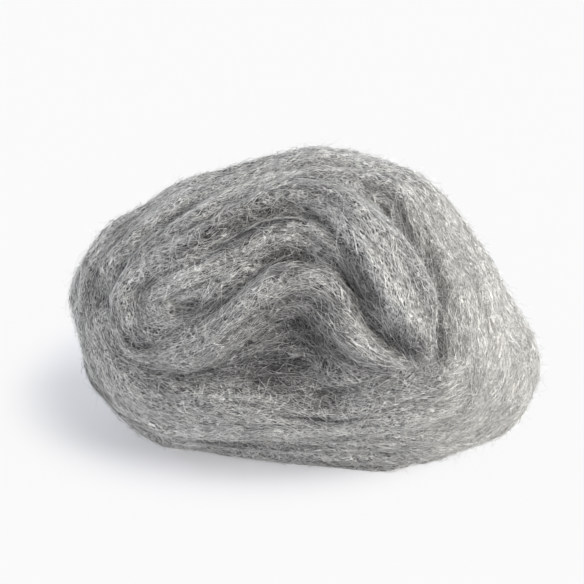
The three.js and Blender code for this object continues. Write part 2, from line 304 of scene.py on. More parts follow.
class Grain:
    """Smooth noise over a plane, from -1 to 1, the same at each run."""

    CELLS = 256

    def __init__(self, seed: int) -> None:
        """Draws the lattice values from a seed."""
        self.values = np.random.default_rng(seed).uniform(-1.0, 1.0, (self.CELLS, self.CELLS))

    def at(self, u: np.ndarray, v: np.ndarray) -> np.ndarray:
        """Reads the noise.

        Args:
            u: first coordinate, in cells.
            v: second coordinate, in cells.

        Returns:
            One value for each pair of coordinates.
        """
        column, row = np.floor(u).astype(int), np.floor(v).astype(int)
        right, up = u - column, v - row
        right = right * right * (3.0 - 2.0 * right)
        up = up * up * (3.0 - 2.0 * up)
        column, row = column % self.CELLS, row % self.CELLS
        next_column, next_row = (column + 1) % self.CELLS, (row + 1) % self.CELLS
        low = self.values[column, row] * (1.0 - right) + self.values[next_column, row] * right
        high = self.values[column, next_row] * (1.0 - right) + self.values[next_column, next_row] * right
        return low * (1.0 - up) + high * up


@dataclass
class Reading:
    """Where points lie against a band: outside it, along it and across it, and the way that it runs there."""

    outside: np.ndarray
    along: np.ndarray
    across: np.ndarray
    run: np.ndarray


class Path:
    """A line laid over the ball, in millimetres: stations with a place, a way out and a size each."""

    STATIONS = 60
    FINE_STEPS = 1200

    def __init__(self, line: tuple[tuple[float, ...], ...], half_sizes: np.ndarray, sink: float) -> None:
        """Sets out the stations at even distances along the line.

        Args:
            line: points in per cent of the ball's half length, half depth and height, with a size each.
            half_sizes: the ball's half length, half depth and half height.
            sink: how far the stations lie under the line.
        """
        points = np.array(line, float)
        knots = in_millimetres(points[:, :3], half_sizes)
        fine = np.linspace(0.0, len(knots) - 1.0, self.FINE_STEPS)
        drawn = self.curve(knots, fine)
        run = np.concatenate(([0.0], np.cumsum(np.linalg.norm(np.diff(drawn, axis=0), axis=1))))
        places = np.interp(np.linspace(0.0, run[-1], self.STATIONS + 1), run, fine)
        at = self.curve(knots, places)
        ahead = np.gradient(at, axis=0)
        ahead /= np.linalg.norm(ahead, axis=1, keepdims=True)
        out = (at - middle_of(half_sizes)) / half_sizes**2
        out -= ahead * (out * ahead).sum(1, keepdims=True)
        self.outs = out / np.linalg.norm(out, axis=1, keepdims=True)
        self.centres = at - self.outs * sink
        self.sizes = np.interp(places, np.arange(len(points)), points[:, 3])
        self.legs = np.diff(self.centres, axis=0)
        self.leg_lengths = np.linalg.norm(self.legs, axis=1)
        self.starts = np.concatenate(([0.0], np.cumsum(self.leg_lengths)))

    @staticmethod
    def curve(points: np.ndarray, places: np.ndarray) -> np.ndarray:
        """Follows the centripetal curve through points.

        Args:
            points: the points that the curve passes.
            places: places along it, where a whole number is a point.

        Returns:
            The curve's points at those places.
        """
        ends = np.vstack((2.0 * points[0] - points[1], points, 2.0 * points[-1] - points[-2]))
        leg = np.minimum(places.astype(int), len(points) - 2)
        share = (places - leg)[:, None]
        p0, p1, p2, p3 = (ends[leg + step] for step in range(4))
        gap0, gap1, gap2 = (
            np.sqrt(np.linalg.norm(b - a, axis=1, keepdims=True)) for a, b in ((p0, p1), (p1, p2), (p2, p3))
        )
        leave = ((p1 - p0) / gap0 - (p2 - p0) / (gap0 + gap1) + (p2 - p1) / gap1) * gap1
        reach = ((p2 - p1) / gap1 - (p3 - p1) / (gap1 + gap2) + (p3 - p2) / gap2) * gap1
        square = -3.0 * p1 + 3.0 * p2 - 2.0 * leave - reach
        cube = 2.0 * p1 - 2.0 * p2 + leave + reach
        return p1 + leave * share + square * share**2 + cube * share**3

    def nearest(self, points: np.ndarray) -> tuple[np.ndarray, np.ndarray]:
        """Finds the station nearest to each point.

        Args:
            points: places in millimetres.

        Returns:
            The stations' numbers, and the squares of their distances.
        """
        closeness = (self.centres**2).sum(1) - 2.0 * points @ self.centres.T
        found = np.argmin(closeness, axis=1)
        return found, closeness[np.arange(len(points)), found] + (points**2).sum(1)

    def beside(self, points: np.ndarray, leg: np.ndarray) -> tuple[np.ndarray, ...]:
        """Measures points from one leg of the line each.

        Args:
            points: places in millimetres.
            leg: the number of the leg for each.

        Returns:
            The share of the leg passed, the offset from it, its way out there, its size there, and the rise
            along the way out.
        """
        offset = points - self.centres[leg]
        share = np.clip((offset * self.legs[leg]).sum(1) / self.leg_lengths[leg] ** 2, 0.0, 1.0)
        offset -= self.legs[leg] * share[:, None]
        out = self.outs[leg] * (1.0 - share)[:, None] + self.outs[leg + 1] * share[:, None]
        out /= np.linalg.norm(out, axis=1, keepdims=True)
        size = self.sizes[leg] * (1.0 - share) + self.sizes[leg + 1] * share
        return share, offset, out, size, (offset * out).sum(1)

    def legs_by(self, station: np.ndarray) -> tuple[np.ndarray, np.ndarray]:
        """Gives the legs before and after stations."""
        last = self.STATIONS - 1
        return np.clip(station - 1, 0, last), np.clip(station, 0, last)


class BandPath(Path):
    """A band set out in millimetres, where a station's size is the band's half width."""

    NEAR = 12.0
    FAR = 12.0
    STRAND_PITCH = 12.0
    STRAND_RISE = 1.0
    STRAND_DRIFT = 2.0

    def __init__(self, band: Band, half_sizes: np.ndarray) -> None:
        """Sets out the band over a ball with those half sizes."""
        super().__init__(band.crest, half_sizes, band.thick)
        self.thick = band.thick

    def outside(self, points: np.ndarray) -> tuple[np.ndarray, np.ndarray]:
        """Measures how far points lie outside the band, and the way out of it.

        Args:
            points: places in millimetres.

        Returns:
            The distance and its slope at each point. A far point has the distance FAR and no slope.
        """
        station, gaps = self.nearest(points)
        distance = np.full(len(points), self.FAR)
        slope = np.zeros_like(points)
        near = np.flatnonzero(gaps < (self.sizes.max() + self.NEAR) ** 2)
        for leg in self.legs_by(station[near]):
            share, offset, out, half_width, rise = self.beside(points[near], leg)
            aside = offset - out * rise[:, None]
            oval = np.sqrt((rise / self.thick) ** 2 + (aside**2).sum(1) / half_width**2)
            least = np.minimum(self.thick, half_width)
            side, _, turn = self.strand(leg, share, offset, out)
            here = (oval - 1.0) * least - np.cos(turn) * self.STRAND_RISE
            way = out * (rise / self.thick**2)[:, None] + aside / (half_width**2)[:, None]
            way *= (least / np.maximum(oval, TINY))[:, None]
            way += side * (np.sin(turn) * self.STRAND_RISE * 2.0 * math.pi / self.STRAND_PITCH)[:, None]
            nearer = here < distance[near]
            distance[near] = np.where(nearer, here, distance[near])
            slope[near] = np.where(nearer[:, None], way, slope[near])
        return distance, slope

    def strand(
        self, leg: np.ndarray, share: np.ndarray, offset: np.ndarray, out: np.ndarray
    ) -> tuple[np.ndarray, np.ndarray, np.ndarray]:
        """Finds where points lie across the gathered strands that the band is made of.

        Args:
            leg: the number of the leg for each point.
            share: the share of the leg passed.
            offset: the offset from the leg.
            out: the band's way out there.

        Returns:
            The way across the band, how far across each point lies, and the strands' turn there in radians.
        """
        side = np.cross(self.legs[leg], out)
        side /= np.linalg.norm(side, axis=1, keepdims=True)
        across = (offset * side).sum(1)
        passed = (leg + share) / self.STATIONS
        return side, across, 2.0 * math.pi * (across / self.STRAND_PITCH + passed * self.STRAND_DRIFT)

    def read(self, points: np.ndarray) -> Reading:
        """Measures points against the band.

        Args:
            points: places in millimetres.

        Returns:
            Their reading against the nearest stretch of the band.
        """
        station, _ = self.nearest(points)
        found: Reading | None = None
        for leg in self.legs_by(station):
            share, offset, out, half_width, rise = self.beside(points, leg)
            aside = np.sqrt(np.maximum((offset**2).sum(1) - rise**2, 0.0))
            oval = np.hypot(rise / self.thick, aside / half_width)
            run = self.legs[leg] / self.leg_lengths[leg][:, None]
            _, across, turn = self.strand(leg, share, offset, out)
            along = self.starts[leg] + share * self.leg_lengths[leg] + (offset * run).sum(1)
            outside = (oval - 1.0) * np.minimum(self.thick, half_width) - np.cos(turn) * self.STRAND_RISE
            round_section = np.arctan2(across / half_width, rise / self.thick)
            here = Reading(outside, along, round_section * (half_width + self.thick) / 2.0, run)
            if found is None:
                found = here
                continue
            nearer = here.outside < found.outside
            for name in ("outside", "along", "across"):
                setattr(found, name, np.where(nearer, getattr(here, name), getattr(found, name)))
            found.run = np.where(nearer[:, None], here.run, found.run)
        return found


class CreasePath(Path):
    """A crease set out in millimetres, where a station's size is the crease's depth."""

    STEEP = 4.0

    def __init__(self, crease: Crease, half_sizes: np.ndarray) -> None:
        """Sets out the crease over a ball with those half sizes."""
        super().__init__(crease.line, half_sizes, 0.0)
        self.half_width = crease.half_width

    def depth(self, points: np.ndarray) -> np.ndarray:
        """Works out how far the crease sinks the wool at points.

        Args:
            points: places in millimetres.

        Returns:
            One depth for each, 0 beside the crease.
        """
        station, gaps = self.nearest(points)
        near = np.flatnonzero(gaps < (self.STEEP * self.half_width) ** 2)
        depths = np.zeros(len(points))
        for leg in self.legs_by(station[near]):
            _, offset, _, deepest, rise = self.beside(points[near], leg)
            away = ((offset**2).sum(1) - rise**2 + (rise / self.STEEP) ** 2) / self.half_width**2
            depths[near] = np.maximum(depths[near], deepest * np.maximum(0.0, 1.0 - away) ** 2)
        return depths


@dataclass
class Bunch:
    """The bunched bands and their packed middle, as one distance field in millimetres."""

    length: float = 150.0
    depth: float = 100.0
    height: float = 100.0
    core_sink: tuple[float, float, float] = (13.0, 14.0, 10.0)
    fold_blend: float = 5.0
    chunk: int = 8192
    paths: list[BandPath] = field(init=False)
    creases: list[CreasePath] = field(init=False)
    half_sizes: np.ndarray = field(init=False)

    def __post_init__(self) -> None:
        """Sets out the bands and the creases."""
        self.half_sizes = np.array((self.length, self.depth, self.height)) / 2.0
        self.paths = [BandPath(band, self.half_sizes) for band in BANDS]
        self.creases = [CreasePath(crease, self.half_sizes) for crease in CREASES]

    def core(self, points: np.ndarray) -> tuple[np.ndarray, np.ndarray]:
        """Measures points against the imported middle, an ellipsoid.

        Args:
            points: places in millimetres.

        Returns:
            How far each lies outside it, and the slope of that distance.
        """
        sizes = self.half_sizes - np.array(self.core_sink)
        scaled = (points - middle_of(self.half_sizes)) / sizes
        reach = np.linalg.norm(scaled, axis=1)
        return (reach - 1.0) * sizes.min(), scaled / sizes * (sizes.min() / reach)[:, None]

    def outside(self, points: np.ndarray) -> tuple[np.ndarray, np.ndarray]:
        """Measures points against the whole bunch.

        Args:
            points: places in millimetres.

        Returns:
            How far each lies outside the wool, negative inside it, and the slope of that distance.
        """
        distances, slopes = np.empty(len(points)), np.empty((len(points), 3))
        for start in range(0, len(points), self.chunk):
            part = slice(start, start + self.chunk)
            distance, slope = self.core(points[part])
            for path in self.paths:
                other, other_slope = path.outside(points[part])
                near = np.maximum(0.0, self.fold_blend - np.abs(distance - other)) / (2.0 * self.fold_blend)
                share = np.where(other < distance, 1.0 - near, near)[:, None]
                slope = slope * (1.0 - share) + other_slope * share
                distance = np.minimum(distance, other) - near**2 * self.fold_blend
            distances[part], slopes[part] = distance, slope
        return distances, slopes

    def crease_depth(self, points: np.ndarray) -> np.ndarray:
        """Works out how far the creases sink the wool at points on the bands."""
        return sum(crease.depth(points) for crease in self.creases)

    def creased(self, points: np.ndarray) -> np.ndarray:
        """Sinks points into the creases, towards the ball's middle.

        Args:
            points: places on the bands, in millimetres.

        Returns:
            The places in the creased wool.
        """
        way_in = middle_of(self.half_sizes) - points
        way_in /= np.linalg.norm(way_in, axis=1, keepdims=True)
        return points + way_in * self.crease_depth(points)[:, None]


@dataclass(frozen=True)
class Streaks:
    """A layer of noise drawn out along the bands: its strength, and its length and pitch in millimetres."""

    strength: float
    length: float
    pitch: float


@dataclass
class WoolBody:
    """The ball's body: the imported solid's skin, made fine, drawn onto the bands and combed into strands.

    Its lengths are in millimetres, and its sway is in radians.
    """

    name: str = "wool_body"
    merge: float = 0.001
    splits: int = 2
    fit_rounds: int = 6
    draw_rounds: int = 10
    longest_draw: float = 1.5
    least_steep: float = 0.25
    flat_zone: float = 3.0
    hardly_sunk: float = 0.01
    strands: tuple[Streaks, ...] = (Streaks(0.8, 45.0, 3.2), Streaks(0.45, 20.0, 1.7))
    strand_seed: int = 7
    share_reach: float = 1.2
    sway: float = 0.22
    sway_size: float = 16.0
    sway_seed: int = 507
    # Layers of painted shade in the strand gaps, darkening the colours there.
    gaps: tuple[Streaks, ...] = (Streaks(0.75, 90.0, 2.6), Streaks(0.6, 60.0, 1.5))
    gap_seed: int = 1007
    gap_from: float = 0.2
    gap_to: float = 0.75
    seeds_per_band: int = 10
    # Painted shade in folds: the smoothing rounds, and how far the wool sinks below the smooth, in millimetres,
    # for full painted shade.
    shade_rounds: int = 160
    shade_depth: float = 4.5
    # The right side, from and to in millimetres along the ball, which the lamps light: only this share of the
    # painted strand-gap shade stays there.
    right_from: float = 10.0
    right_to: float = 42.0
    right_gap_shade_kept: float = 0.3
    bunch: Bunch = field(default_factory=Bunch)

    def build(self) -> bpy.types.Object:
        """Makes the body's mesh.

        Returns:
            The body, at the origin, with its flow, its shade and its strand map.
        """
        mesh = self.fine_skin()
        points = np.empty(len(mesh.vertices) * 3, np.float32)
        mesh.vertices.foreach_get("co", points)
        points = points.reshape(-1, 3).astype(float) / MM
        shift = self.place_of_bunch()
        points = self.draw_onto_bands(points - shift)
        readings = [path.read(points) for path in self.bunch.paths]
        shares = self.shares(readings)
        normals = self.way_out(points)
        points = self.bunch.creased(points) + normals * self.relief(readings, shares)[:, None] + shift
        points[:, 2] = np.maximum(points[:, 2], 0.0)
        mesh.vertices.foreach_set("co", (points * MM).astype(np.float32).ravel())
        self.write_flow(mesh, readings, shares, normals, points)
        self.write_painted_shade(mesh, points - shift, normals, self.painted_gap_shade(readings, shares))
        self.write_strand_map(mesh, readings)
        mesh.shade_smooth()
        mesh.update()
        return add_piece(self.name, mesh)

    def fine_skin(self) -> bpy.types.Mesh:
        """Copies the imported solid's mesh, merged, with each triangle split into smaller ones.

        Returns:
            The new mesh.
        """
        work = bmesh.new()
        work.from_mesh(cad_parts[NODE].data)
        bmesh.ops.remove_doubles(work, verts=work.verts, dist=self.merge * MM)
        for _ in range(self.splits):
            bmesh.ops.subdivide_edges(work, edges=work.edges[:], cuts=1, use_grid_fill=True)
        bmesh.ops.triangulate(work, faces=work.faces[:])
        mesh = bpy.data.meshes.new(self.name)
        work.to_mesh(mesh)
        work.free()
        return mesh

    def place_of_bunch(self) -> np.ndarray:
        """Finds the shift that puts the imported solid's corners on the bands' surface.

        Returns:
            The shift from the bands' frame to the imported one, in millimetres.
        """
        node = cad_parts[NODE].data
        corners = np.array([vertex.co for vertex in node.vertices], float) / MM
        corners = np.unique(corners.round(3), axis=0)
        corners = corners[corners[:, 2] > self.flat_zone]
        shift = np.zeros(3)
        for _ in range(self.fit_rounds):
            smooth = corners[self.bunch.crease_depth(corners - shift) < self.hardly_sunk]
            outside, slope = self.bunch.outside(smooth - shift)
            shift += np.linalg.lstsq(slope, outside, rcond=None)[0]
        log.info("bands lie at %s mm, %.3f mm off", shift.round(2), np.abs(outside).mean())
        return shift

    def draw_onto_bands(self, points: np.ndarray) -> np.ndarray:
        """Moves points square onto the wool's surface.

        Args:
            points: places in the bands' frame, in millimetres.

        Returns:
            The places on the surface.
        """
        for _ in range(self.draw_rounds):
            outside, slope = self.bunch.outside(points)
            steep = np.maximum((slope**2).sum(1), self.least_steep)
            draw = np.clip(outside / steep, -self.longest_draw, self.longest_draw)
            points = points - slope * draw[:, None]
        return points

    def way_out(self, points: np.ndarray) -> np.ndarray:
        """Gives the unit way out of the wool at points in the bands' frame."""
        slope = self.bunch.outside(points)[1]
        return slope / np.maximum(np.linalg.norm(slope, axis=1, keepdims=True), TINY)

    def shares(self, readings: list[Reading]) -> np.ndarray:
        """Weighs how much each band has in each point.

        Args:
            readings: the points' reading against each band.

        Returns:
            A row for each band, with shares that add up to 1 for each point.
        """
        outside = np.stack([reading.outside for reading in readings])
        weights = np.exp(-(outside - outside.min(axis=0)) / self.share_reach)
        return weights / weights.sum(axis=0)

    def streaked(
        self, layers: tuple[Streaks, ...], seed: int, readings: list[Reading], shares: np.ndarray
    ) -> Iterator[tuple[np.ndarray, np.ndarray]]:
        """Draws layers of noise out along each band.

        Args:
            layers: the layers.
            seed: what the first draw starts from.
            readings: the points' reading against each band.
            shares: each band's share in each point.

        Yields:
            What a layer of a band weighs at each point, and its noise there.
        """
        for number, (reading, share) in enumerate(zip(readings, shares)):
            for rank, layer in enumerate(layers):
                grain = Grain(seed + self.seeds_per_band * number + rank)
                noise = grain.at(reading.along / layer.length, reading.across / layer.pitch)
                yield share * layer.strength, noise

    def relief(self, readings: list[Reading], shares: np.ndarray) -> np.ndarray:
        """Works out how far the strands that the fibres gather in stand out, in millimetres."""
        layers = self.streaked(self.strands, self.strand_seed, readings, shares)
        return sum(weight * noise for weight, noise in layers)

    def painted_gap_shade(self, readings: list[Reading], shares: np.ndarray) -> np.ndarray:
        """Works out the painted shade in the long gaps between strands, where the colours are darkened.

        Args:
            readings: the points' reading against each band.
            shares: each band's share in each point.

        Returns:
            How much the gaps' painted shade darkens the colours at each point, 0 where there are none.
        """
        span = self.gap_to - self.gap_from
        layers = self.streaked(self.gaps, self.gap_seed, readings, shares)
        return sum(weight * np.clip((noise - self.gap_from) / span, 0.0, 1.0) for weight, noise in layers)

    def write_flow(
        self,
        mesh: bpy.types.Mesh,
        readings: list[Reading],
        shares: np.ndarray,
        normals: np.ndarray,
        points: np.ndarray,
    ) -> None:
        """Stores the way that the fibres run at each corner of the mesh.

        Args:
            mesh: the body's mesh.
            readings: the corners' reading against each band.
            shares: each band's share in each corner.
            normals: the way out at each corner.
            points: the corners' places in millimetres.
        """
        first = shares.argmax(axis=0)
        lead = np.stack([reading.run for reading in readings])[first, np.arange(len(first))]
        flow = np.zeros_like(lead)
        for reading, share in zip(readings, shares):
            turned = np.sign((reading.run * lead).sum(1))
            flow += reading.run * (share * turned)[:, None]
        flow -= normals * (flow * normals).sum(1, keepdims=True)
        flow /= np.maximum(np.linalg.norm(flow, axis=1, keepdims=True), TINY)
        level, height = points[:, 0] + points[:, 1], points[:, 2]
        turn = self.sway * Grain(self.sway_seed).at(level / self.sway_size, height / self.sway_size)
        flow = flow * np.cos(turn)[:, None] + np.cross(normals, flow) * np.sin(turn)[:, None]
        stored = mesh.attributes.new(FLOW, "FLOAT_VECTOR", "POINT")
        stored.data.foreach_set("vector", flow.astype(np.float32).ravel())

    def smoothed(self, mesh: bpy.types.Mesh, points: np.ndarray) -> np.ndarray:
        """Evens out corners by moving each to the middle of its neighbours, many times.

        Args:
            mesh: the body's mesh.
            points: the corners' places.

        Returns:
            The even places.
        """
        edges = np.empty(len(mesh.edges) * 2, np.int32)
        mesh.edges.foreach_get("vertices", edges)
        first, second = edges.reshape(-1, 2).T
        count = len(points)
        meets = np.bincount(first, minlength=count) + np.bincount(second, minlength=count)
        smooth = points.copy()
        for _ in range(self.shade_rounds):
            for axis in range(3):
                line = smooth[:, axis]
                total = np.bincount(first, line[second], count) + np.bincount(second, line[first], count)
                smooth[:, axis] = total / meets
        return smooth

    def write_painted_shade(
        self, mesh: bpy.types.Mesh, points: np.ndarray, normals: np.ndarray, gaps: np.ndarray
    ) -> None:
        """Stores the painted shade at each corner, from 0 to 1: how much the colours are darkened
        in folds, strand gaps and spots, and less where a spot paints light.

        Args:
            mesh: the body's mesh.
            points: the corners' places in the bands' frame, in millimetres.
            normals: the way out at each corner.
            gaps: the painted shade of the strand gaps there.
        """
        # Painted shade in folds: darker where a corner sinks below its smoothed neighbours.
        sunk = ((self.smoothed(mesh, points) - points) * normals).sum(1)
        kept = 1.0 - np.clip(sunk / self.shade_depth, 0.0, 1.0)
        # Painted shade in strand gaps, weakened on the right side, which the lamps light.
        right_share = np.clip((points[:, 0] - self.right_from) / (self.right_to - self.right_from), 0.0, 1.0)
        kept *= 1.0 - gaps.clip(0.0, 1.0) * (1.0 - right_share * (1.0 - self.right_gap_shade_kept))
        # Spots of painted shade, and of painted light where the share is below 0.
        for spot in PAINTED_SHADE_SPOTS:
            kept *= 1.0 - spot.painted_shade_at(points, self.bunch.half_sizes)
        shade = (1.0 - kept).clip(0.0, 1.0).astype(np.float32)
        mesh.attributes.new(PAINTED_SHADE, "FLOAT", "POINT").data.foreach_set("value", shade)

    def write_strand_map(self, mesh: bpy.types.Mesh, readings: list[Reading]) -> None:
        """Lays a map along and across the bands, in metres, with each triangle on one band.

        Args:
            mesh: the body's mesh.
            readings: the corners' reading against each band.
        """
        corners = np.empty(len(mesh.loops), np.int32)
        mesh.loops.foreach_get("vertex_index", corners)
        corners = corners.reshape(-1, 3)
        outside = np.stack([reading.outside for reading in readings])
        band = outside[:, corners].sum(axis=2).argmin(axis=0)[:, None]
        along = np.stack([reading.along for reading in readings])[band, corners]
        across = np.stack([reading.across for reading in readings])[band, corners]
        places = np.stack((along + 2.0 * self.bunch.length * band, across), axis=2)
        layer = mesh.uv_layers.new(name=STRAND_MAP)
        layer.uv.foreach_set("vector", (places * MM).astype(np.float32).ravel())


class Blend(Enum):
    """How two colours are mixed."""

    MIX = "MIX"
    MULTIPLY = "MULTIPLY"


class Wires:
    """A node tree, with short ways to add its nodes and to link them."""

    def __init__(self, tree: bpy.types.NodeTree) -> None:
        """Takes the tree that is wired."""
        self.tree = tree

    def node(self, kind: str, **settings: object) -> bpy.types.Node:
        """Adds a node.

        Args:
            kind: the node's type.
            settings: its properties.

        Returns:
            The node.
        """
        made = self.tree.nodes.new(kind)
        for name, value in settings.items():
            setattr(made, name, value)
        return made

    def put(self, source: object, socket: Socket) -> None:
        """Links an output to an input, or sets the input to a plain value.

        Args:
            source: the output socket or the value.
            socket: the input.
        """
        if isinstance(source, Socket):
            self.tree.links.new(source, socket)
        else:
            socket.default_value = source

    def feed(self, node: bpy.types.Node, **sources: object) -> bpy.types.Node:
        """Links or sets a node's inputs by their names.

        Args:
            node: the node.
            sources: an output socket or a plain value for each input, named with _ for each space.

        Returns:
            The same node.
        """
        for name, source in sources.items():
            title = name.replace("_", " ")
            self.put(source, next(s for s in node.inputs if s.name == title and s.enabled))
        return node

    def fill(self, node: bpy.types.Node, *sources: object) -> bpy.types.Node:
        """Links or sets a node's inputs in their order.

        Args:
            node: the node.
            sources: an output socket or a plain value for each input in use.

        Returns:
            The same node.
        """
        for socket, source in zip([s for s in node.inputs if s.enabled], sources):
            self.put(source, socket)
        return node

    @staticmethod
    def result(node: bpy.types.Node, name: str | None = None) -> Socket:
        """Gives a node's output by its name, or its first one in use."""
        return next(s for s in node.outputs if s.enabled and name in (None, s.name))

    def maths(self, operation: str, *values: object) -> Socket:
        """Adds a Math node, with a socket or a number for each input, and gives its output."""
        return self.result(self.fill(self.node("ShaderNodeMath", operation=operation), *values))

    def vectors(self, operation: str, *values: object, output: str = "Vector") -> Socket:
        """Adds a Vector Math node, with a socket or a value for each input, and gives an output."""
        made = self.node("ShaderNodeVectorMath", operation=operation)
        return self.result(self.fill(made, *values), output)

    def axes(self, vector: Socket) -> bpy.types.Node:
        """Adds a node that gives a vector's X, Y and Z."""
        return self.feed(self.node("ShaderNodeSeparateXYZ"), Vector=vector)

    def place(self, kind: str) -> Socket:
        """Gives the place that is shaded, in one kind of coordinates."""
        return self.result(self.node("ShaderNodeTexCoord"), kind)

    def span(
        self, value: Socket, source: tuple[float, float], target: tuple[float, float], way: str = "LINEAR"
    ) -> Socket:
        """Maps a value from one range to another, and holds it at the ends."""
        made = self.node("ShaderNodeMapRange", interpolation_type=way)
        return self.result(self.fill(made, value, *source, *target))

    def mapped(self, vector: Socket, way: str = "POINT", **settings: tuple[float, ...]) -> Socket:
        """Moves, turns or scales a vector by a Location, a Rotation and a Scale."""
        made = self.node("ShaderNodeMapping", vector_type=way)
        return self.result(self.feed(made, Vector=vector, **settings))

    def mixed(self, blend: Blend, share: Socket, colour: object, other: Colour) -> Socket:
        """Mixes a share of another colour into a colour, which is a socket or opaque."""
        made = self.node("ShaderNodeMix", data_type="RGBA", blend_type=blend.value)
        return self.result(self.feed(made, Factor=share, A=colour, B=opaque(other)))

    def stepped(self, value: Socket, dark: Colour, light: Colour) -> Socket:
        """Turns a value from 0 to 1 into a colour between two.

        Args:
            value: the value.
            dark: the colour at 0.
            light: the colour at 1.

        Returns:
            The colour.
        """
        ramp = self.node("ShaderNodeValToRGB")
        for element, colour in zip(ramp.color_ramp.elements, (dark, light)):
            element.color = opaque(colour)
        return self.result(self.feed(ramp, Fac=value))


class Draw(IntEnum):
    """What a random number is drawn for. The number that it stands for keeps it apart from the others."""

    SPLAY = 1
    MORE_SPLAY = 2
    LENGTH = 3
    TONE = 4
    RISE = 5
    FLARE = 6
    CRIMP_X = 11
    CRIMP_Y = 12
    CRIMP_Z = 13


class FibreTree(Wires):
    """The node tree that grows crimped fibres over a skin, along its flow.

    A fibre is a line of a few points with a section of a few sides. Its length is drawn between the shortest
    and the longest share of the coat's.
    """

    POINTS = 5
    SIDES = 3
    SHORTEST = 0.65
    LONGEST = 1.35

    INPUTS = (
        ("Fibres per Square Metre", "NodeSocketFloat"),
        ("Seed", "NodeSocketInt"),
        ("Length", "NodeSocketFloat"),
        ("Radius", "NodeSocketFloat"),
        ("Splay", "NodeSocketFloat"),
        ("Lowest", "NodeSocketFloat"),
        ("Highest", "NodeSocketFloat"),
        ("Dip", "NodeSocketFloat"),
        ("Flare", "NodeSocketFloat"),
        ("Crimp", "NodeSocketFloat"),
        ("Thinning", "NodeSocketFloat"),
        ("Finish", "NodeSocketMaterial"),
    )

    def __init__(self) -> None:
        """Builds the tree."""
        super().__init__(bpy.data.node_groups.new("fibre_coat", "GeometryNodeTree"))
        self.tree.interface.new_socket("Skin", in_out="INPUT", socket_type="NodeSocketGeometry")
        self.keys: dict[str, str] = {}
        for name, kind in self.INPUTS:
            socket = self.tree.interface.new_socket(name, in_out="INPUT", socket_type=kind)
            self.keys[name] = socket.identifier
        self.tree.interface.new_socket("Fibres", in_out="OUTPUT", socket_type="NodeSocketGeometry")
        self.start = self.node("NodeGroupInput")
        self.spin(self.crimp(self.walk(self.roots())))

    def setting(self, name: str) -> Socket:
        """Gives one of the tree's named inputs."""
        return self.start.outputs[name]

    def chance(self, low: object, high: object, draw: Draw) -> Socket:
        """Adds a random number for each point.

        Args:
            low: the least.
            high: the most.
            draw: what the number is for.

        Returns:
            The number's socket.
        """
        seed = self.maths("ADD", self.setting("Seed"), float(draw))
        made = self.node("FunctionNodeRandomValue", data_type="FLOAT")
        return self.result(self.feed(made, Min=low, Max=high, Seed=seed))

    def stored(self, name: str, kind: str = "FLOAT") -> Socket:
        """Reads a stored value by its name."""
        return self.result(self.feed(self.node("GeometryNodeInputNamedAttribute", data_type=kind), Name=name))

    def store(self, geometry: Socket, name: str, value: Socket, kind: str = "FLOAT") -> Socket:
        """Stores a value on points, and gives the points with it."""
        made = self.node("GeometryNodeStoreNamedAttribute", data_type=kind, domain="POINT")
        return self.result(self.feed(made, Geometry=geometry, Name=name, Value=value))

    def on_skin(self, value: Socket, place: Socket, kind: str = "FLOAT_VECTOR") -> Socket:
        """Reads a value of the skin where it lies nearest to a place."""
        made = self.node("GeometryNodeSampleNearestSurface", data_type=kind)
        return self.result(self.feed(made, Mesh=self.setting("Skin"), Value=value, Sample_Position=place))

    def here(self) -> tuple[Socket, Socket]:
        """Gives a point's place, and the skin's way out there."""
        place = self.result(self.node("GeometryNodeInputPosition"))
        return place, self.on_skin(self.result(self.node("GeometryNodeInputNormal")), place)

    def moved(self, points: Socket, **settings: Socket) -> Socket:
        """Moves points to a Position, or by an Offset."""
        return self.result(self.feed(self.node("GeometryNodeSetPosition"), Geometry=points, **settings))

    def roots(self) -> Socket:
        """Scatters the fibres' middles over the skin, and gives each fibre its points.

        Returns:
            The points, still at their fibre's middle.
        """
        loss = self.maths("MULTIPLY", self.stored(PAINTED_SHADE), self.setting("Thinning"))
        kept = self.maths("SUBTRACT", 1.0, loss)
        scatter = self.feed(
            self.node("GeometryNodeDistributePointsOnFaces", distribute_method="RANDOM"),
            Mesh=self.setting("Skin"),
            Density=self.maths("MULTIPLY", self.setting("Fibres per Square Metre"), kept),
            Seed=self.setting("Seed"),
        )
        halves = [self.chance(-0.5, 0.5, draw) for draw in (Draw.SPLAY, Draw.MORE_SPLAY)]
        stride = self.maths("DIVIDE", self.setting("Length"), self.POINTS - 1.0)
        spread = self.chance(self.SHORTEST, self.LONGEST, Draw.LENGTH)
        values = {
            "splay": self.maths("MULTIPLY", self.maths("ADD", *halves), self.setting("Splay")),
            "stride": self.maths("MULTIPLY", stride, spread),
            TONE: self.chance(0.0, 1.0, Draw.TONE),
            "rise": self.chance(self.setting("Lowest"), self.setting("Highest"), Draw.RISE),
            "flare": self.chance(0.0, self.setting("Flare"), Draw.FLARE),
            "fibre": self.result(self.node("GeometryNodeInputIndex")),
        }
        points = scatter.outputs["Points"]
        for name, value in values.items():
            points = self.store(points, name, value)
        copies = self.feed(
            self.node("GeometryNodeDuplicateElements", domain="POINT"), Geometry=points, Amount=self.POINTS
        )
        rank = self.maths("SUBTRACT", copies.outputs["Duplicate Index"], (self.POINTS - 1) / 2)
        points = self.store(copies.outputs["Geometry"], "rank", rank)
        side = self.maths("SIGN", self.stored("rank"))
        heading = self.vectors("SCALE", self.stored(FLOW, "FLOAT_VECTOR"), side)
        return self.store(points, "heading", heading, "FLOAT_VECTOR")

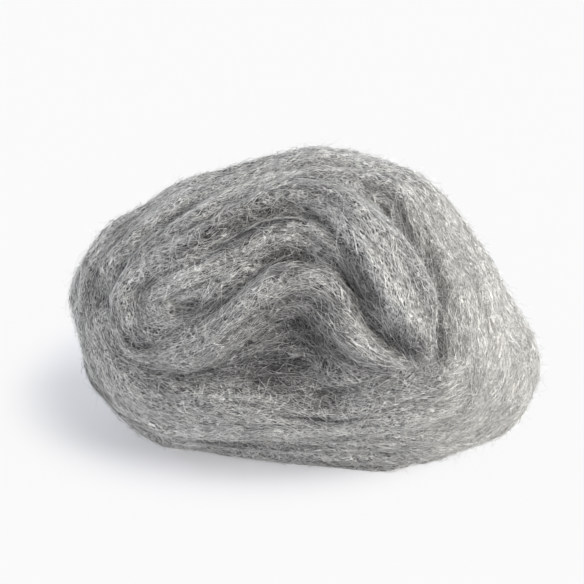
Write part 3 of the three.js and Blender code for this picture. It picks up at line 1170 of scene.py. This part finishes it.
    def walk(self, points: Socket) -> Socket:
        """Walks each fibre's points out from its middle, along the flow and on the skin.

        Args:
            points: the points at their fibre's middle.

        Returns:
            The points on the skin.
        """
        enter = self.node("GeometryNodeRepeatInput")
        leave = self.node("GeometryNodeRepeatOutput")
        enter.pair_with_output(leave)
        self.feed(enter, Iterations=(self.POINTS - 1) // 2, Geometry=points)

        place, normal = self.here()
        flow = self.on_skin(self.stored(FLOW, "FLOAT_VECTOR"), place)
        turn = self.node("ShaderNodeVectorRotate", rotation_type="AXIS_ANGLE")
        turned = self.result(self.feed(turn, Vector=flow, Axis=normal, Angle=self.stored("splay")))
        kept = self.vectors("DOT_PRODUCT", turned, self.stored("heading", "FLOAT_VECTOR"), output="Value")
        heading = self.vectors("NORMALIZE", self.vectors("SCALE", turned, self.maths("SIGN", kept)))
        rank = self.maths("ABSOLUTE", self.stored("rank"))
        left = self.maths("SUBTRACT", rank, enter.outputs["Iteration"])
        share = self.maths("MINIMUM", self.maths("MAXIMUM", left, 0.0), 1.0)
        step = self.vectors("SCALE", heading, self.maths("MULTIPLY", share, self.stored("stride")))
        onto = self.on_skin(place, self.vectors("ADD", place, step))
        headed = self.store(enter.outputs["Geometry"], "heading", heading, "FLOAT_VECTOR")
        self.feed(leave, Geometry=self.moved(headed, Position=onto))
        return leave.outputs["Geometry"]

    def crimp(self, points: Socket) -> Socket:
        """Lifts the fibres off the skin, dips their ends, and crimps them.

        Args:
            points: the points on the skin.

        Returns:
            The fibres' points, none lower than the floor lets them lie.
        """
        place, normal = self.here()
        # Each point takes the painted shade of the skin beneath it, for its colour.
        points = self.store(points, PAINTED_SHADE, self.on_skin(self.stored(PAINTED_SHADE), place, "FLOAT"))
        end = self.maths("DIVIDE", self.stored("rank"), (self.POINTS - 1) / 2)
        square = self.maths("MULTIPLY", end, end)
        dip = self.maths("MULTIPLY", square, self.setting("Dip"))
        tip = self.maths("MULTIPLY", self.maths("MAXIMUM", end, 0.0), square)
        flare = self.maths("MULTIPLY", tip, self.stored("flare"))
        rise = self.maths("ADD", self.maths("SUBTRACT", self.stored("rise"), dip), flare)
        most = self.setting("Crimp")
        least = self.maths("MULTIPLY", most, -1.0)
        draws = (Draw.CRIMP_X, Draw.CRIMP_Y, Draw.CRIMP_Z)
        parts = self.fill(
            self.node("ShaderNodeCombineXYZ"), *(self.chance(least, most, draw) for draw in draws)
        )
        offset = self.vectors("ADD", self.vectors("SCALE", normal, rise), self.result(parts))
        lifted = self.moved(points, Offset=offset)

        axes = self.axes(self.result(self.node("GeometryNodeInputPosition"))).outputs
        height = self.maths("MAXIMUM", axes["Z"], self.setting("Radius"))
        above = self.fill(self.node("ShaderNodeCombineXYZ"), axes["X"], axes["Y"], height)
        return self.moved(lifted, Position=self.result(above))

    def spin(self, points: Socket) -> None:
        """Joins each fibre's points, and gives the fibre its section and its finish.

        Args:
            points: the fibres' points.
        """
        lines = self.feed(
            self.node("GeometryNodePointsToCurves"),
            Points=points,
            Curve_Group_ID=self.stored("fibre", "INT"),
            Weight=self.stored("rank"),
        )
        even = self.feed(self.node("GeometryNodeSetCurveRadius"), Curve=self.result(lines), Radius=1.0)
        section = self.feed(
            self.node("GeometryNodeCurvePrimitiveCircle"),
            Resolution=self.SIDES,
            Radius=self.setting("Radius"),
        )
        tubes = self.feed(
            self.node("GeometryNodeCurveToMesh"),
            Curve=self.result(even),
            Profile_Curve=self.result(section),
            Fill_Caps=True,
        )
        real = self.feed(self.node("GeometryNodeRealizeInstances"), Geometry=self.result(tubes))
        dressed = self.feed(
            self.node("GeometryNodeSetMaterial"), Geometry=self.result(real), Material=self.setting("Finish")
        )
        self.feed(self.node("NodeGroupOutput"), Fibres=self.result(dressed))


@dataclass(frozen=True)
class Finish:
    """A finish of the wool, from dark to light, that suits its colour to the place on the ball.

    The painted shade colour is what is left of the colour where the painted shade is full.
    Towards the right side, in millimetres along the ball, which the lamps light, the tone is painted evener
    and warmer.
    """

    name: str
    dark: Colour
    light: Colour
    roughness: float
    metal: float
    painted_shade_colour: Colour = (0.62, 0.62, 0.63)
    bump: float = 0.0
    bump_height: float = 0.0
    right_span: tuple[float, float] = (28.0, 48.0)
    right_span_share: float = 0.42
    right_span_tone: Colour = (0.55, 0.54, 0.52)

    def material(self) -> bpy.types.Material:
        """Makes the finish.

        Returns:
            The material.
        """
        made = bpy.data.materials.new(self.name)
        made.use_nodes = True
        wires = Wires(made.node_tree)
        shader = wires.tree.nodes["Principled BSDF"]
        lightness = self.lightness(wires)
        colour = self.in_place(wires, wires.stepped(lightness, self.dark, self.light))
        wires.feed(shader, Base_Color=colour, Metallic=self.metal, Roughness=self.roughness)
        if self.bump:
            bump = wires.node("ShaderNodeBump")
            wires.feed(bump, Strength=self.bump, Distance=self.bump_height, Height=lightness)
            wires.feed(shader, Normal=wires.result(bump))
        return made

    def lightness(self, wires: Wires) -> Socket:
        """Gives how light the finish is at each place, from 0 to 1, by the stored tone."""
        return wires.result(wires.node("ShaderNodeAttribute", attribute_name=TONE), "Fac")

    def in_place(self, wires: Wires, colour: Socket) -> Socket:
        """Suits a colour to its place on the ball: painted evener and warmer on the lamp-lit right side,
        and darkened in folds, strand gaps and spots by the painted shade.

        Args:
            wires: the material's node tree.
            colour: the colour on a loose crest.

        Returns:
            The colour in its place.
        """
        # Painted light: towards the lamp-lit right side the colour is mixed towards an even, warm tone.
        along = wires.axes(wires.place("Object")).outputs["X"]
        start, end = self.right_span
        right_share = wires.span(along, (start * MM, end * MM), (0.0, self.right_span_share))
        even = wires.mixed(Blend.MIX, right_share, colour, self.right_span_tone)
        # Painted shade: the colour is darkened by the stored painted shade.
        depth = wires.result(wires.node("ShaderNodeAttribute", attribute_name=PAINTED_SHADE), "Fac")
        return wires.mixed(Blend.MULTIPLY, depth, even, self.painted_shade_colour)


@dataclass(frozen=True)
class MatFinish(Finish):
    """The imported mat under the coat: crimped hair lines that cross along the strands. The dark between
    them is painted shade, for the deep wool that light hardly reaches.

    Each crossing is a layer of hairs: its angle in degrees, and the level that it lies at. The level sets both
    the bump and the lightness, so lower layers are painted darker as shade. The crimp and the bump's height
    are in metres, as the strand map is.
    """

    name: str = "packed_mat_with_painted_shade"
    # Painted shade: the near-black between the hair lines.
    dark: Colour = (0.06, 0.06, 0.062)
    light: Colour = (0.92, 0.92, 0.91)
    roughness: float = 0.7
    metal: float = 0.6
    painted_shade_colour: Colour = (0.16, 0.16, 0.165)
    bump: float = 0.8
    bump_height: float = 0.0003
    hairs_per_metre: tuple[float, float] = (240.0, 1900.0)
    crossings: tuple[tuple[float, float], ...] = ((7.0, 1.0), (-11.0, 0.9), (27.0, 0.75), (-33.0, 0.6))
    layer_shift: float = 0.37
    hair_width: float = 0.08
    crimps_per_metre: tuple[float, float] = (500.0, 700.0)
    crimp: float = 0.0005

    def lightness(self, wires: Wires) -> Socket:
        """Draws the hairs: layers that cross at an angle and lie at a level each, all crimped.

        Args:
            wires: the material's node tree.

        Returns:
            The hairs' height, from 0 between hairs to 1 on a hair; it is also the lightness, so the dark
            between hairs is painted shade.
        """
        crimped = self.crimped_map(wires)
        layers = []
        for number, (angle, level) in enumerate(self.crossings):
            turn = (0.0, 0.0, math.radians(angle))
            turned = wires.mapped(crimped, Rotation=turn, Location=(0.0, self.layer_shift * number, 0.0))
            noise = wires.result(self.noise(wires, turned, self.hairs_per_metre, Detail=0.0), "Fac")
            away = wires.maths("ABSOLUTE", wires.maths("SUBTRACT", noise, NOISE_MIDDLE))
            layers.append(wires.span(away, (0.0, self.hair_width), (level, 0.0)))
        top, *others = layers
        for other in others:
            top = wires.maths("MAXIMUM", top, other)
        return top

    def crimped_map(self, wires: Wires) -> Socket:
        """Crimps the map that runs along and across the strands.

        Args:
            wires: the material's node tree.

        Returns:
            The crimped map.
        """
        strands = wires.result(wires.node("ShaderNodeUVMap", uv_map=STRAND_MAP))
        waves = wires.result(self.noise(wires, strands, self.crimps_per_metre), "Color")
        centred = wires.vectors("SUBTRACT", waves, (NOISE_MIDDLE,) * 3)
        return wires.vectors("MULTIPLY_ADD", centred, (self.crimp,) * 3, strands)

    @staticmethod
    def noise(
        wires: Wires, place: Socket, per_metre: tuple[float, float], **settings: float
    ) -> bpy.types.Node:
        """Adds noise over the map.

        Args:
            wires: the material's node tree.
            place: the place on the map.
            per_metre: how many cells it has in each metre along and across.
            settings: its other inputs.

        Returns:
            The noise's node.
        """
        made = wires.node("ShaderNodeTexNoise", noise_dimensions="2D")
        scaled = wires.mapped(place, Scale=(*per_metre, 1.0))
        return wires.feed(made, Vector=scaled, Scale=1.0, **settings)


@dataclass(frozen=True)
class FibreCoat:
    """A coat of loose fibres over the body, with its sizes in millimetres and its splay in degrees."""

    name: str
    finish: Finish
    per_square_cm: float
    seed: int
    length: float
    thickness: float
    splay: float
    lowest: float
    highest: float
    dip: float
    flare: float
    crimp: float
    thinning: float = 0.7

    def settings(self) -> dict[str, object]:
        """Gives the coat's values for the node tree's inputs, in metres and radians.

        Returns:
            A value for each input's name.
        """
        return {
            "Fibres per Square Metre": self.per_square_cm * SQUARE_CM_PER_SQUARE_METRE,
            "Seed": self.seed,
            "Length": self.length * MM,
            "Radius": self.thickness * MM / 2.0,
            "Splay": math.radians(self.splay),
            "Lowest": self.lowest * MM,
            "Highest": self.highest * MM,
            "Dip": self.dip * MM,
            "Flare": self.flare * MM,
            "Crimp": self.crimp * MM,
            "Thinning": self.thinning,
            "Finish": self.finish.material(),
        }

    def build(self, skin: bpy.types.Object, fibres: FibreTree) -> bpy.types.Object:
        """Grows the coat on the body.

        Args:
            skin: the body.
            fibres: the node tree that grows fibres.

        Returns:
            The coat as a plain mesh, at the origin.
        """
        grown = add_piece(self.name + "_skin", skin.data.copy())
        modifier = grown.modifiers.new("fibre_coat", "NODES")
        modifier.node_group = fibres.tree
        for name, value in self.settings().items():
            modifier[fibres.keys[name]] = value
        graph = bpy.context.evaluated_depsgraph_get()
        mesh = bpy.data.meshes.new_from_object(grown.evaluated_get(graph))
        mesh.name = self.name
        grown.modifiers.remove(modifier)
        bpy.data.objects.remove(grown)
        kept = (TONE, PAINTED_SHADE, "position", "material_index")
        for spare in [a.name for a in mesh.attributes if not a.is_internal and a.name not in kept]:
            mesh.attributes.remove(mesh.attributes[spare])
        mesh.shade_smooth()
        return add_piece(self.name, mesh)


@dataclass(frozen=True)
class Lamp:
    """A broad lamp, with its strength in watts for each square metre and its angles in degrees.

    It shines from a side, to the right of the front, and from a height, and its spread is how wide it is.
    """

    name: str
    strength: float
    side: float
    up: float
    spread: float
    colour: Colour = (1.0, 0.955, 0.87)

    def build(self) -> None:
        """Sets the lamp."""
        light = bpy.data.lights.new(self.name, "SUN")
        light.energy = self.strength
        light.color = self.colour
        light.angle = math.radians(self.spread)
        lamp = add_piece(self.name, light)
        side, up = math.radians(self.side), math.radians(self.up)
        way = Vector((math.sin(side) * math.cos(up), -math.cos(side) * math.cos(up), math.sin(up)))
        lamp.rotation_euler = way.to_track_quat("Z", "Y").to_euler()
        lamp.location = way


@dataclass(frozen=True)
class Studio:
    """The pale floor, the soft light and the camera, with lengths in metres and angles in degrees."""

    elevation: float = 20.0
    view_angle: float = 20.0
    distance: float = 0.5385
    target: tuple[float, float, float] = (-0.0049, 0.0, 0.051)
    floor_size: float = 12.0
    floor_roughness: float = 0.9
    floor_colour: Colour = (0.92, 0.93, 0.95)
    floor_seen: Colour = (0.735, 0.742, 0.80)
    floor_white: Colour = (0.955, 0.955, 0.955)
    floor_washes: tuple[float, float] = (0.30, 0.97)
    shadow_middle: tuple[float, float] = (-0.019, 0.050)
    shadow_shape: tuple[float, float] = (1.0, 1.18)
    shadow_reach: tuple[float, float] = (0.064, 0.093)
    sky_colour: Colour = (0.93, 0.96, 1.0)
    sky_strengths: tuple[float, float] = (0.60, 2.2)
    sky_turn: float = -0.1
    sky_left: float = 1.5
    sky_overhead: float = 0.5
    lamps: tuple[Lamp, ...] = (
        Lamp("key_light", strength=2.8, side=66.0, up=31.0, spread=50.0),
        Lamp("fill_light", strength=2.1, side=35.0, up=8.0, spread=70.0),
    )

    def build(self) -> None:
        """Sets up the floor, the light and the camera."""
        self.floor()
        self.light()
        self.camera()

    def floor(self) -> None:
        """Lays the floor that the ball rests on."""
        half = self.floor_size / 2.0
        mesh = bpy.data.meshes.new("floor")
        corners = [(-half, -half, 0.0), (half, -half, 0.0), (half, half, 0.0), (-half, half, 0.0)]
        mesh.from_pydata(corners, [], [(0, 1, 2, 3)])
        paint = bpy.data.materials.new("floor_paint")
        paint.use_nodes = True
        self.wash(Wires(paint.node_tree))
        mesh.materials.append(paint)
        floor = add_piece("floor", mesh)

    def wash(self, wires: Wires) -> None:
        """Lightens the floor where it is seen, directly or mirrored, so that a soft shadow stays by the ball.

        Args:
            wires: the floor paint's node tree.
        """
        nodes = wires.tree.nodes
        rays = wires.node("ShaderNodeLightPath")
        seen = rays.outputs["Is Camera Ray"]
        for name in ("Is Glossy Ray", "Is Transmission Ray"):
            seen = wires.maths("MAXIMUM", seen, rays.outputs[name])
        colour = wires.mixed(Blend.MIX, seen, opaque(self.floor_colour), self.floor_seen)
        paint = wires.feed(nodes["Principled BSDF"], Base_Color=colour, Roughness=self.floor_roughness)
        wires.feed(paint, Specular_IOR_Level=0.0)
        shadow = {"Location": (*self.shadow_middle, 0.0), "Scale": (*self.shadow_shape, 1.0)}
        from_middle = wires.mapped(wires.place("Object"), "TEXTURE", **shadow)
        away = wires.vectors("LENGTH", from_middle, output="Value")
        wash = wires.span(away, self.shadow_reach, self.floor_washes, "SMOOTHSTEP")
        white = wires.feed(wires.node("ShaderNodeEmission"), Color=opaque(self.floor_white))
        mix = wires.node("ShaderNodeMixShader")
        wires.fill(mix, wires.maths("MULTIPLY", seen, wash), wires.result(paint), wires.result(white))
        wires.feed(nodes["Material Output"], Surface=wires.result(mix))

    def light(self) -> None:
        """Sets the soft sky, brighter on the right, and the broad lamps from the right of the front."""
        world = bpy.data.worlds.new("studio_sky")
        world.use_nodes = True
        wires = Wires(world.node_tree)
        sky = wires.tree.nodes["Background"]
        wires.feed(sky, Color=opaque(self.sky_colour), Strength=self.sky_strength(wires))
        bpy.context.scene.world = world
        for lamp in self.lamps:
            lamp.build()

    def sky_strength(self, wires: Wires) -> Socket:
        """Makes the sky's strength grow to the right, a little to the left, and fall towards the top.

        Args:
            wires: the sky's node tree.

        Returns:
            The strength.
        """
        axes = wires.axes(wires.place("Generated")).outputs
        right = wires.span(axes["X"], (self.sky_turn, 1.0), self.sky_strengths, "SMOOTHSTEP")
        left = wires.span(axes["X"], (self.sky_turn, -1.0), (0.0, self.sky_left))
        above = wires.span(axes["Z"], (0.0, 1.0), (1.0, self.sky_overhead))
        return wires.maths("MULTIPLY", wires.maths("ADD", right, left), above)

    def camera(self) -> None:
        """Sets the camera at the photograph's viewing angle."""
        lens = bpy.data.cameras.new("camera")
        lens.angle = math.radians(self.view_angle)
        camera = add_piece("camera", lens)
        up = math.radians(self.elevation)
        back = Vector((0.0, -math.cos(up), math.sin(up)))
        camera.location = Vector(self.target) + back * self.distance
        camera.rotation_euler = back.to_track_quat("Z", "Y").to_euler()
        bpy.context.scene.camera = camera


BRIGHT = Finish("bright_fibre", (0.80, 0.80, 0.79), (1.0, 1.0, 0.99), roughness=0.28, metal=0.8)
# A darker copy of the fibre finish for the bed fibres, which lie deep in the coat, and for some cross fibres:
# partly tone that differs between fibres, and partly painted shade.
DULL_AND_SHADED = Finish("dull_and_shaded_fibre", (0.10, 0.10, 0.10), (0.60, 0.60, 0.59), roughness=0.36, metal=0.7)

COATS = (
    FibreCoat(
        "bed_fibres", DULL_AND_SHADED, per_square_cm=12.0, seed=11, length=9.0, thickness=0.11, splay=50.0,
        lowest=-0.2, highest=0.4, dip=0.3, flare=0.0, crimp=0.3,
    ),
    FibreCoat(
        "top_fibres_a", BRIGHT, per_square_cm=13.5, seed=13, length=9.5, thickness=0.11, splay=38.0,
        lowest=-0.1, highest=0.5, dip=0.3, flare=0.0, crimp=0.3,
    ),
    FibreCoat(
        "top_fibres_b", BRIGHT, per_square_cm=13.5, seed=14, length=7.0, thickness=0.11, splay=75.0,
        lowest=0.0, highest=0.6, dip=0.3, flare=0.2, crimp=0.35,
    ),
    FibreCoat(
        "cross_fibres_a", BRIGHT, per_square_cm=13.0, seed=15, length=5.5, thickness=0.11, splay=120.0,
        lowest=0.0, highest=0.8, dip=0.4, flare=0.9, crimp=0.35,
    ),
    FibreCoat(
        "cross_fibres_b", DULL_AND_SHADED, per_square_cm=10.0, seed=17, length=5.5, thickness=0.11, splay=160.0,
        lowest=0.0, highest=0.9, dip=0.4, flare=1.2, crimp=0.35,
    ),
    FibreCoat(
        "stray_fibres", BRIGHT, per_square_cm=8.0, seed=16, length=10.0, thickness=0.06, splay=160.0,
        lowest=0.3, highest=1.4, dip=0.0, flare=3.0, crimp=0.8, thinning=0.0,
    ),
)


def dress(piece: bpy.types.Object) -> None:
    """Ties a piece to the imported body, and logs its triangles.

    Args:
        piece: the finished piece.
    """
    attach(piece, RIDES_ON)
    piece.data.calc_loop_triangles()
    log.info("%s: %d triangles", piece.name, len(piece.data.loop_triangles))


def main() -> None:
    """Builds the ball's pieces and the studio."""
    logging.basicConfig(level=logging.INFO, format="%(relativeCreated)6.0f ms  %(message)s")
    scene = bpy.context.scene
    scene.view_settings.view_transform = "Standard"
    Studio().build()

    body = WoolBody().build()
    fibres = FibreTree()
    coats = [coat.build(body, fibres) for coat in COATS]
    body.data.attributes.remove(body.data.attributes[FLOW])
    body.data.materials.clear()
    body.data.materials.append(MatFinish().material())
    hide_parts(NODE)
    for piece in (body, *coats):
        dress(piece)


if __name__ == "__main__":
    main()
